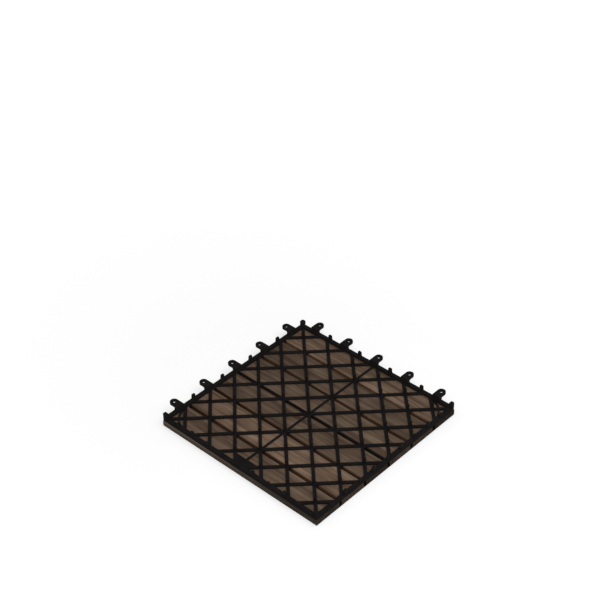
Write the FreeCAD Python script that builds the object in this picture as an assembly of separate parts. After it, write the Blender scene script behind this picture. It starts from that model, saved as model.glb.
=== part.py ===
import FreeCAD, Part
import math
import os

# Interlocking deck tile: six wooden slats on one moulded plastic base.
# The tile lies with its walking face on the ground and its feet upwards.
# Millimetres. X runs along the slats, Y across them, Z upwards.
# Origin: middle of the tile, on the plane of the walking face.

# Slat field
deck_span = 295.0
slat_count = 6
slat_gap = 5.0
slat_thickness = 9.75
slat_edge_radius = 1.5

# Base, measured from the undersides of the slats to the ends of the feet
base_height = 12.25

# Diagonal lattice; the pitch is the step between rows of crossings
lattice_pitch = 25.0
rib_width = 4.9
rib_height = 2.5
length_rib_width = 1.8
cross_rib_width = 2.5

# Posts on the crossings; radii are measured to the flats of their eight sides
post_sides = 8
post_foot_radius = 2.3
post_tip_radius = 1.9

# Raised rim, flush with the edges of the slat field
rim_width = 6.0
rim_height = 4.75
rim_corner_radius = 2.0

# Curved corner braces, and the plate at the middle of the near side
brace_radius = 32.0
brace_width = 2.0
plate_depth = 14.1

# Feet and pegs stand on one line, a set distance inside the outer face of the rim
edge_inset = 2.0
edge_pitch = 29.5
foot_length = 5.5
foot_width = 4.0
foot_draft = 0.4
peg_radius = 1.9
peg_tip_radius = 1.1
peg_tip_length = 1.5
peg_relief = 0.5

# Loops that take the neighbour's pegs
loop_radius = 6.3
loop_hole_radius = 2.6
loop_thickness = 3.5

# Screws that hold the slats from below, eight-sided like the posts
screw_end_distance = 35.0
screw_shank_radius = 1.25
screw_head_radius = 2.0
screw_head_height = 1.4
screw_point_radius = 0.2
screw_point_length = 1.5
screw_clearance = 0.2
wood_under_screw = 2.3

# Derived sizes
half_span = deck_span / 2.0
slat_width = (deck_span - (slat_count - 1) * slat_gap) / slat_count
slat_pitch = slat_width + slat_gap
grid_bottom = slat_thickness
grid_top = grid_bottom + rib_height
rim_top = grid_bottom + rim_height
total_height = grid_bottom + base_height
cell_span = 2.0 * lattice_pitch
rim_inner = half_span - rim_width
rim_middle = half_span - rim_width / 2.0
edge_line = half_span - edge_inset
edge_places = int((rim_inner - foot_length) // edge_pitch)
laying_pitch = deck_span + slat_gap
loop_line = laying_pitch - edge_line
loop_bottom = total_height - loop_thickness
plate_edge = plate_depth - rim_inner
peg_top = total_height - peg_relief
screw_neck = grid_top - screw_head_height
screw_bottom = wood_under_screw + screw_clearance


def vec(x, y, z):
    return FreeCAD.Vector(x, y, z)


def box(x0, x1, y0, y1, z0, z1):
    """A box given by its six faces."""
    return Part.makeBox(x1 - x0, y1 - y0, z1 - z0, vec(x0, y0, z0))


def closed(points):
    """A closed outline through the points."""
    return Part.makePolygon(points + points[:1])


def tapered(lower, upper):
    """A solid with straight sides between two level outlines."""
    return Part.makeLoft([closed(lower), closed(upper)], True, True)


def post_outline(x, y, z, radius):
    """Corners of a level outline whose flats lie at the radius."""
    corner = radius / math.cos(math.pi / post_sides)
    points = []
    for step in range(post_sides):
        angle = math.pi * (2 * step + 1) / post_sides
        points.append(vec(x + corner * math.cos(angle), y + corner * math.sin(angle), z))
    return points


def post(x, y, z0, z1, radius_0, radius_1):
    """A post on (x, y) whose radius goes from radius_0 at z0 to radius_1 at z1."""
    return tapered(post_outline(x, y, z0, radius_0), post_outline(x, y, z1, radius_1))


def turned(shape, quarter):
    """The same shape a number of quarter turns further round the tile."""
    copy = shape.copy()
    copy.rotate(vec(0, 0, 0), vec(0, 0, 1), 90.0 * quarter)
    return copy


def upright_edges(shape):
    """Edges that run parallel to Z."""
    found = []
    for edge in shape.Edges:
        bounds = edge.BoundBox
        if max(bounds.XLength, bounds.YLength) < 1e-6:
            found.append(edge)
    return found


def level_edges(shape, z):
    """Edges that lie at one height."""
    found = []
    for edge in shape.Edges:
        bounds = edge.BoundBox
        if abs(bounds.ZMin - z) < 1e-6 and abs(bounds.ZMax - z) < 1e-6:
            found.append(edge)
    return found


def slat_centre(index):
    """Y of the middle of a slat, counted from the near side."""
    return (index - (slat_count - 1) / 2.0) * slat_pitch


def screw_places(index):
    """Both screws of a slat, each halfway between two posts on a rib."""
    middle = slat_centre(index)
    row = math.ceil(abs(middle) / lattice_pitch) - 0.5
    y = math.copysign(row * lattice_pitch, middle)
    cells = round((half_span - screw_end_distance - abs(y)) / cell_span)
    x = abs(y) + cells * cell_span
    return [(-x, y), (x, y)]


def all_screw_places():
    places = []
    for index in range(slat_count):
        places += screw_places(index)
    return places


def make_slat(index):
    """One slat with rounded edges and a blind pilot hole for each screw."""
    y0 = slat_centre(index) - slat_width / 2.0
    slat = box(-half_span, half_span, y0, y0 + slat_width, 0.0, slat_thickness)
    rounded = level_edges(slat, 0.0) + level_edges(slat, slat_thickness)
    slat = slat.makeFillet(slat_edge_radius, rounded)
    for x, y in screw_places(index):
        pilot = post(x, y, wood_under_screw, slat_thickness, screw_shank_radius, screw_shank_radius)
        slat = slat.cut(pilot)
    return slat


def screw_head(x, y):
    """The countersunk head, flush with the top of the lattice."""
    return post(x, y, screw_neck, grid_top, screw_shank_radius, screw_head_radius)


def make_screw(x, y):
    """A countersunk wood screw with a plain shank and a point."""
    shank_bottom = screw_bottom + screw_point_length
    shank = post(x, y, shank_bottom, screw_neck, screw_shank_radius, screw_shank_radius)
    point = post(x, y, screw_bottom, shank_bottom, screw_point_radius, screw_shank_radius)
    return shank.fuse([point, screw_head(x, y)]).removeSplitter()


def lattice():
    """Diagonal ribs and the two straight ribs, kept inside the rim."""
    reach = deck_span
    step = cell_span / math.sqrt(2.0)
    lines = int(reach // cell_span) + 1
    half = rib_width / 2.0
    ribs = []
    for line in range(-lines, lines + 1):
        middle = line * step
        rib = box(-reach, reach, middle - half, middle + half, grid_bottom, grid_top)
        for angle in (45.0, -45.0):
            copy = rib.copy()
            copy.rotate(vec(0, 0, 0), vec(0, 0, 1), angle)
            ribs.append(copy)
    half = length_rib_width / 2.0
    ribs.append(box(-rim_middle, rim_middle, -half, half, grid_bottom, grid_top))
    half = cross_rib_width / 2.0
    ribs.append(box(-half, half, plate_edge, rim_middle, grid_bottom, grid_top))
    window = box(-rim_middle, rim_middle, -rim_middle, rim_middle, grid_bottom, grid_top)
    return ribs[0].multiFuse(ribs[1:]).common(window)


def braces():
    """Curved ribs across the two corners where a peg side meets a loop side."""
    centre = rim_inner - brace_radius
    outer = Part.makeCylinder(brace_radius, rib_height, vec(centre, centre, grid_bottom))
    inner = Part.makeCylinder(brace_radius - brace_width, rib_height, vec(centre, centre, grid_bottom))
    corner = box(centre, rim_middle, centre, rim_middle, grid_bottom, grid_top)
    brace = outer.cut(inner).common(corner)
    return [brace, turned(brace, 2)]


def centre_plate():
    """The flat plate between the two ribs that meet beyond the near rim."""
    apex = -cell_span * math.ceil(rim_inner / cell_span)
    wide = plate_edge - apex
    narrow = -rim_middle - apex
    corners = [(-wide, plate_edge), (wide, plate_edge), (narrow, -rim_middle), (-narrow, -rim_middle)]
    outline = closed([vec(x, y, grid_bottom) for x, y in corners])
    return Part.Face(outline).extrude(vec(0, 0, rib_height))


def lattice_posts():
    """A slender post on every crossing of the diagonal ribs."""
    posts = []
    last = int(rim_inner // lattice_pitch)
    for i in range(-last, last + 1):
        for j in range(-last, last + 1):
            if (i + j) % 2 == 0:
                x = i * lattice_pitch
                y = j * lattice_pitch
                posts.append(post(x, y, grid_top, total_height, post_foot_radius, post_tip_radius))
    return posts


def rim_wall(z0, z1):
    """The square wall of the rim between two heights."""
    outer = box(-half_span, half_span, -half_span, half_span, z0, z1)
    outer = outer.makeFillet(rim_corner_radius, upright_edges(outer))
    inner = box(-rim_inner, rim_inner, -rim_inner, rim_inner, z0, z1)
    return outer.cut(inner)


def corner_feet():
    """A foot on each corner, as wide as the rim."""
    wall = rim_wall(rim_top, total_height)
    corner = box(rim_inner, half_span, rim_inner, half_span, rim_top, total_height)
    foot = wall.common(corner)
    return [turned(foot, quarter) for quarter in range(4)]


def foot_outline(y, z, inset):
    """Corners of a foot on the +X rim at one height."""
    half_x = foot_width / 2.0 - inset
    half_y = foot_length / 2.0 - inset
    signs = [(-1, -1), (1, -1), (1, 1), (-1, 1)]
    return [vec(edge_line + a * half_x, y + b * half_y, z) for a, b in signs]


def edge_foot(y):
    """A drafted foot on the +X rim."""
    return tapered(foot_outline(y, rim_top, 0.0), foot_outline(y, total_height, foot_draft))


def peg(y):
    """A round peg on the +X rim with a tapered tip."""
    shoulder = peg_top - peg_tip_length
    pin = Part.makeCylinder(peg_radius, shoulder - rim_top, vec(edge_line, y, rim_top))
    tip = Part.makeCone(peg_radius, peg_tip_radius, peg_tip_length, vec(edge_line, y, shoulder))
    return pin.fuse(tip)


def loop(y):
    """A flat eye that stands out from the +X rim at foot level."""
    wall = box(rim_inner, half_span, y - loop_radius, y + loop_radius, rim_top, total_height)
    arm = box(rim_inner, loop_line, y - loop_radius, y + loop_radius, loop_bottom, total_height)
    eye = Part.makeCylinder(loop_radius, loop_thickness, vec(loop_line, y, loop_bottom))
    hole = Part.makeCylinder(loop_hole_radius, loop_thickness, vec(loop_line, y, loop_bottom))
    return wall.fuse([arm, eye]).cut(hole)


def edge_features():
    """Feet on all four sides, pegs on two of them and loops on the other two."""
    features = []
    for quarter in range(4):
        has_pegs = quarter in (0, 3)
        for place in range(-edge_places, edge_places + 1):
            y = place * edge_pitch
            if place % 2:
                feature = edge_foot(y)
            elif has_pegs:
                feature = peg(y)
            else:
                feature = loop(y)
            features.append(turned(feature, quarter))
    return features


def make_base():
    """The moulded base, with a countersunk hole for every screw."""
    parts = [lattice(), rim_wall(grid_bottom, rim_top), centre_plate()]
    parts += braces()
    parts += lattice_posts()
    parts += corner_feet()
    parts += edge_features()
    cutters = []
    hole_radius = screw_shank_radius + screw_clearance
    for x, y in all_screw_places():
        cutters.append(post(x, y, grid_bottom, grid_top, hole_radius, hole_radius))
        cutters.append(screw_head(x, y))
    base = parts[0].multiFuse(parts[1:])
    base = base.cut(cutters[0].multiFuse(cutters[1:]))
    return base.removeSplitter()


def main():
    os.makedirs("parts", exist_ok=True)
    make_base().exportStep("parts/base_grid.step")
    for index in range(slat_count):
        make_slat(index).exportStep("parts/slat_%d.step" % (index + 1))
    screws = [make_screw(x, y) for x, y in all_screw_places()]
    Part.makeCompound(screws).exportStep("parts/screws.step")


main()
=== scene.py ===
import math

import bpy
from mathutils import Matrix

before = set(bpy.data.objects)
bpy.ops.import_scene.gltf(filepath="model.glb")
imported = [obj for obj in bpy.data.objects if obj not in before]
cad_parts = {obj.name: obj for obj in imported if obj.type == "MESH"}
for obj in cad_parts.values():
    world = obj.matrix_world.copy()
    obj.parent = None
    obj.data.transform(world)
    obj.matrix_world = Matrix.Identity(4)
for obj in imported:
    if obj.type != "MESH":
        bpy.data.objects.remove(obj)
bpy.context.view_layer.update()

# Interlocking deck tile, upside down: slats below, moulded lattice base above.
# Metres, in the frame of the CAD model: walking face on z = 0, X along the slats.
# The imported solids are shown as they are. This script adds their materials, the
# floor, the light and the camera. Colours are in linear light.

white = (1.0, 1.0, 1.0)

# Camera fitted to the photograph's lattice crossings; degrees and millimetres
camera_place = (0.98956, -1.07164, 1.29975)
camera_turn = (53.3406, 0.7245, 42.5896)
camera_lens = 81.4315
camera_sensor = 36.0

# One soft box above the tile, towards +X, and soft light from all round
lamp_place = (0.45, -0.1, 1.55)
lamp_size = 1.5
lamp_power = 17.9
world_strength = 0.46

# Black plastic: fine grain, and flow marks that change tone and roughness
plastic_colour = (0.0096, 0.0085, 0.0083)
plastic_specular = 0.008
plastic_grain_scale = 2600.0
plastic_grain_bump = (0.25, 0.0001)
plastic_flow_scale = 42.0
plastic_flow_span = (0.30, 0.72)
plastic_flow_tones = (0.82, 1.22)
plastic_roughness = (0.48, 0.62)

# Painted light: the plastic's upright faces are painted lighter than its level ones; the outer
# face of the rim, found by its distance from the tile's middle, less so
painted_upright_light = 2.0
painted_rim_outer_light = 1.2
rim_outer = (0.1473, 0.1477)

# Black coated steel
screw_colour = (0.0055, 0.0055, 0.0055)
screw_specular = 0.01
screw_roughness = 0.5
screw_wear_scale = 900.0
screw_wear_span = (0.35, 0.75)
screw_wear_tones = (1.0, 2.0)

# Wood: three tones of the figure, and how bright each slat is, from the near side
# to the far side
wood_dark = (0.041, 0.025, 0.0156)
wood_mid = (0.099, 0.065, 0.0440)
wood_light = (0.183, 0.130, 0.0915)
wood_steps = (0.36, 0.50, 0.66)
wood_specular = 0.06
wood_roughness = (0.62, 0.78)
wood_bump = (0.35, 0.0004)
slat_count = 6
slat_tones = [0.916, 1.376, 0.863, 0.882, 0.781, 1.156]

# Each slat shows another part of the grain: where it starts along X, and the step
# from slat to slat along Y and Z. The grain wanders across its length.
grain_starts = [0.31, 0.0, 0.31, 0.74, 0.0, 2.09]
grain_step = (0.113, 0.071)
grain_wander = (0.0, 0.010, 0.010)

# Features per metre along and across the grain, and their shares of the tone
wander_scale = (9.0, 30.0, 30.0)
band_scale = (5.0, 160.0, 160.0)
streak_scale = (28.0, 900.0, 900.0)
patch_scale = (14.0, 40.0, 40.0)
band_share = 0.50
streak_share = 0.22
patch_share = 0.28
streak_height = 0.7
band_height = 0.3

# Open end grain is darker, and the ends also carry painted shade: how bright each slat's ends
# are, against its faces
end_grain_and_shade_tones = [0.46, 0.40, 0.257, 0.61, 0.52, 0.135]
end_grain_and_shade_tint = (1.0, 1.0, 1.03)
end_facing = (0.3, 0.9)

# Painted shade in the gaps: the slats' inner edges are painted darker and browner
gap_shade_tint = (0.90, 0.75, 0.66)
gap_shade_tones = [1.0, 1.0, 1.3, 1.4, 1.35, 1.7]
gap_shade_facing = (0.15, 0.85)
field_half = 0.146

# Painted shade at the gaps' open ends, under the rim: darker still
gap_end_shade_span = (0.139, 0.1415)
gap_end_shade_tone = 0.15

# The near long side of the field is darker towards its +X end
side_length = 0.295
side_shade = (1.22, 0.42)
side_tint = (1.0, 1.11, 1.23)

# Floor: it glows towards white, more so where the lamp reaches it less. A patch of painted
# shade under the tile shows through the gaps between the slats.
floor_size = 12.0
floor_tone = 0.50
floor_glow = (0.52, 0.80)
floor_glow_reach = (0.25, 1.60)
floor_shade_half = 0.1475
floor_shade = (0.020, 0.009, 0.004)


def toned(colour, tone):
    """A colour made brighter or darker by a factor."""
    return tuple(tone * channel for channel in colour)


class Nodes:
    """A short way to write the node tree of a material or the world."""

    def __init__(self, owner):
        owner.use_nodes = True
        self.owner = owner
        self.tree = owner.node_tree
        self.tree.nodes.clear()

    def add(self, kind, inputs=None, **settings):
        node = self.tree.nodes.new(kind)
        for key, value in settings.items():
            setattr(node, key, value)
        for key, value in (inputs or {}).items():
            if isinstance(value, bpy.types.NodeSocket):
                self.tree.links.new(value, node.inputs[key])
            else:
                node.inputs[key].default_value = value
        return node

    def math(self, operation, first, second=0.0):
        return self.add("ShaderNodeMath", {0: first, 1: second}, operation=operation).outputs[0]

    def size(self, value):
        return self.math("ABSOLUTE", value)

    def span(self, value, results, source=(0.0, 1.0)):
        """A value's place between two others, as a place between two results."""
        return self.add("ShaderNodeMapRange", {
            "Value": value,
            "From Min": source[0],
            "From Max": source[1],
            "To Min": results[0],
            "To Max": results[1],
        }).outputs["Result"]

    def ramp(self, value, stops):
        node = self.add("ShaderNodeValToRGB", {0: value})
        elements = node.color_ramp.elements
        while len(elements) < len(stops):
            elements.new(0.5)
        for element, (position, colour) in zip(elements, stops):
            element.position = position
            element.color = (*colour, 1.0)
        return node.outputs["Color"]

    def place(self):
        return self.add("ShaderNodeTexCoord").outputs["Object"]

    def parts(self, vector):
        """The X, Y and Z of a vector."""
        return self.add("ShaderNodeSeparateXYZ", {0: vector}).outputs

    def facing(self, axis):
        """How far the surface faces along one axis of the scene, either way."""
        normal = self.add("ShaderNodeNewGeometry").outputs["Normal"]
        return self.size(self.parts(normal)[axis])

    def reach(self, place):
        """The larger of the distances from the tile's middle along X and Y."""
        parts = self.parts(place)
        return self.math("MAXIMUM", self.size(parts["X"]), self.size(parts["Y"]))

    def moved(self, place, **inputs):
        return self.add("ShaderNodeMapping", {"Vector": place, **inputs}).outputs["Vector"]

    def noise(self, place, scale, detail, roughness=0.5):
        return self.add("ShaderNodeTexNoise", {
            "Vector": place,
            "Scale": scale,
            "Detail": detail,
            "Roughness": roughness,
        }).outputs

    def stretched_noise(self, place, scale, detail, roughness=0.5):
        """Noise with its own scale along each axis."""
        return self.noise(self.moved(place, Scale=scale), 1.0, detail, roughness)

    def vector(self, operation, first, second):
        node = self.add("ShaderNodeVectorMath", {0: first, 1: second}, operation=operation)
        return node.outputs["Vector"]

    def scaled(self, colour, factor):
        """A colour made brighter or darker by a factor."""
        node = self.add("ShaderNodeVectorMath", {0: colour, 3: factor}, operation="SCALE")
        return node.outputs["Vector"]

    def blend(self, first, second, share):
        """One colour turned into another by a share of 0 to 1."""
        node = self.add("ShaderNodeMix", {0: share, 6: first, 7: second}, data_type="RGBA")
        return node.outputs[2]

    def bump(self, height, strength_and_distance):
        strength, distance = strength_and_distance
        node = self.add("ShaderNodeBump", {
            "Height": height,
            "Strength": strength,
            "Distance": distance,
        })
        return node.outputs["Normal"]

    def seen(self, kinds):
        """1 for rays of these kinds, 0 for all others."""
        rays = self.add("ShaderNodeLightPath").outputs
        found = rays[kinds[0]]
        for kind in kinds[1:]:
            found = self.math("MAXIMUM", found, rays[kind])
        return found

    def surface(self, shader, kind="ShaderNodeOutputMaterial"):
        self.add(kind, {"Surface": shader})
        return self.owner

    def finish(self, **inputs):
        """A principled surface; its inputs are written with _ for a space."""
        named = {key.replace("_", " "): value for key, value in inputs.items()}
        return self.surface(self.add("ShaderNodeBsdfPrincipled", named).outputs["BSDF"])


def new_material(name):
    return Nodes(bpy.data.materials.new(name))


def make_plastic():
    """Black moulded plastic with a fine grain and faint flow marks, and painted light on its
    upright faces.
    """
    n = new_material("black_plastic")
    place = n.place()
    grain = n.noise(place, plastic_grain_scale, 2.0)["Fac"]
    flow = n.noise(place, plastic_flow_scale, 3.0)["Fac"]
    tint = n.ramp(flow, [
        (position, toned(plastic_colour, tone))
        for position, tone in zip(plastic_flow_span, plastic_flow_tones)
    ])
    reach = n.reach(place)
    outside = n.math("MULTIPLY", n.math("GREATER_THAN", reach, rim_outer[0]),
                     n.math("LESS_THAN", reach, rim_outer[1]))
    # Painted light: upright faces are painted lighter, the rim's outer face less so
    painted_side_light = n.span(outside, (painted_upright_light, painted_rim_outer_light))
    return n.finish(
        Base_Color=n.scaled(tint, n.span(n.facing("Z"), (painted_side_light, 1.0))),
        Roughness=n.span(flow, plastic_roughness),
        Specular_IOR_Level=plastic_specular,
        Normal=n.bump(grain, plastic_grain_bump),
    )


def make_screw_metal():
    """Black coated steel."""
    n = new_material("black_steel")
    wear = n.noise(n.place(), screw_wear_scale, 2.0)["Fac"]
    return n.finish(
        Base_Color=n.ramp(wear, [
            (position, toned(screw_colour, tone))
            for position, tone in zip(screw_wear_span, screw_wear_tones)
        ]),
        Roughness=screw_roughness,
        Specular_IOR_Level=screw_specular,
    )


def make_wood(index):
    """Oiled dark hardwood; grain along X, darker end grain, and painted shade on the slat's
    ends and in the gaps.
    """
    n = new_material("wood_%d" % (index + 1))
    place = n.place()
    grain_start = (grain_starts[index], index * grain_step[0], index * grain_step[1])
    shifted = n.moved(place, Location=grain_start)

    # Slow wander of the grain, so that the streaks aren't straight
    wander = n.stretched_noise(shifted, wander_scale, 2.0)["Color"]
    bent = n.vector("ADD", shifted, n.vector("MULTIPLY", wander, grain_wander))

    # Growth rings cut lengthwise, fine streaks and pores, and cloudy patches of tone
    bands = n.stretched_noise(bent, band_scale, 4.0, 0.55)["Fac"]
    streaks = n.stretched_noise(bent, streak_scale, 3.0, 0.6)["Fac"]
    patches = n.stretched_noise(shifted, patch_scale, 2.0)["Fac"]
    mixed = n.math("ADD", n.math("MULTIPLY", bands, band_share),
                   n.math("MULTIPLY", streaks, streak_share))
    mixed = n.math("ADD", mixed, n.math("MULTIPLY", patches, patch_share))
    colour = n.ramp(mixed, [
        (position, toned(wood, slat_tones[index]))
        for position, wood in zip(wood_steps, (wood_dark, wood_mid, wood_light))
    ])

    # The slat's ends: darker end grain, and painted shade
    end_grain_and_shade_colour = n.vector("MULTIPLY", colour, toned(end_grain_and_shade_tint, end_grain_and_shade_tones[index]))
    colour = n.blend(end_grain_and_shade_colour, colour, n.span(n.facing("X"), (1.0, 0.0), end_facing))

    # Painted shade on the edges along the gaps, but not on the outside of the field. The
    # lighter a gap is, the weaker its tint.
    spot = n.parts(place)
    inside = n.math("LESS_THAN", n.size(spot["Y"]), field_half)
    gap_shade_mask = n.span(n.math("MULTIPLY", n.facing("Y"), inside), (0.0, 1.0), gap_shade_facing)
    gap_shade_tone = gap_shade_tones[index]
    # The tint of the painted shade in this slat's gaps
    tint = tuple(gap_shade_tone * channel ** (1.0 / gap_shade_tone) for channel in gap_shade_tint)
    # Painted shade where the gaps run under the rim
    under_rim_shade = n.span(n.size(spot["X"]), (1.0, gap_end_shade_tone), gap_end_shade_span)
    gap_shade_colour = n.scaled(n.vector("MULTIPLY", colour, tint), under_rim_shade)
    colour = n.blend(colour, gap_shade_colour, gap_shade_mask)

    # The near side of the field
    near = n.math("MULTIPLY", n.math("LESS_THAN", spot["Y"], -field_half), n.facing("Y"))
    along = n.span(spot["X"], side_shade, (-side_length / 2, side_length / 2))
    side_colour = n.vector("MULTIPLY", n.scaled(colour, along), side_tint)
    colour = n.blend(colour, side_colour, near)

    height = n.math("ADD", n.math("MULTIPLY", streaks, streak_height),
                    n.math("MULTIPLY", bands, band_height))
    return n.finish(
        Base_Color=colour,
        Roughness=n.span(streaks, wood_roughness),
        Specular_IOR_Level=wood_specular,
        Normal=n.bump(height, wood_bump),
    )


def dress(name, material):
    """Gives a CAD node its material."""
    piece = bpy.data.objects[name]
    piece.data.materials.clear()
    piece.data.materials.append(material)


def make_floor():
    """A plain pale floor that shows white, with the tile's shadow on it and a patch of painted
    shade under the tile.
    """
    bpy.ops.mesh.primitive_plane_add(size=floor_size)
    floor = bpy.context.object
    floor.name = "floor"
    n = new_material("pale_floor")
    place = n.place()

    # Painted shade on the floor right under the tile, as in a stack
    clear = n.math("GREATER_THAN", n.reach(place), floor_shade_half)
    tone = n.ramp(clear, [(0.0, floor_shade), (1.0, toned(white, floor_tone))])
    lit = n.add("ShaderNodeBsdfDiffuse", {"Color": tone}).outputs[0]

    distance = n.add("ShaderNodeVectorMath", {0: place}, operation="LENGTH").outputs["Value"]
    strength = n.math("MULTIPLY", clear, n.span(distance, floor_glow, floor_glow_reach))
    glow = n.add("ShaderNodeEmission", {"Color": (*white, 1.0), "Strength": strength})
    both = n.add("ShaderNodeAddShader", {0: lit, 1: glow.outputs[0]}).outputs[0]
    seen = n.seen(["Is Camera Ray", "Is Glossy Ray", "Is Transmission Ray"])
    mix = n.add("ShaderNodeMixShader", {0: seen, 1: lit, 2: both})
    floor.data.materials.append(n.surface(mix.outputs[0]))


def make_world():
    """Soft light from all round, and a white background."""
    world = bpy.data.worlds.new("studio")
    bpy.context.scene.world = world
    n = Nodes(world)
    soft, plain = [
        n.add("ShaderNodeBackground", {"Color": (*white, 1.0), "Strength": strength}).outputs[0]
        for strength in (world_strength, 1.0)
    ]
    seen = n.seen(["Is Camera Ray", "Is Glossy Ray", "Is Transmission Ray"])
    mix = n.add("ShaderNodeMixShader", {0: seen, 1: soft, 2: plain})
    n.surface(mix.outputs[0], "ShaderNodeOutputWorld")


def make_lamp():
    """A square soft box that faces the tile."""
    data = bpy.data.lights.new("overhead", "AREA")
    data.size = lamp_size
    data.energy = lamp_power
    lamp = bpy.data.objects.new("overhead", data)
    bpy.context.scene.collection.objects.link(lamp)
    lamp.location = lamp_place
    direction = -lamp.location
    lamp.rotation_euler = direction.to_track_quat("-Z", "Y").to_euler()


def make_camera():
    data = bpy.data.cameras.new("camera")
    data.lens = camera_lens
    data.sensor_width = camera_sensor
    camera = bpy.data.objects.new("camera", data)
    bpy.context.scene.collection.objects.link(camera)
    camera.location = camera_place
    camera.rotation_euler = [math.radians(angle) for angle in camera_turn]
    bpy.context.scene.camera = camera


make_camera()
make_world()
make_floor()
make_lamp()

dress("base_grid", make_plastic())
dress("screws", make_screw_metal())
for slat in range(slat_count):
    dress("slat_%d" % (slat + 1), make_wood(slat))

bpy.context.scene.view_settings.view_transform = "Standard"
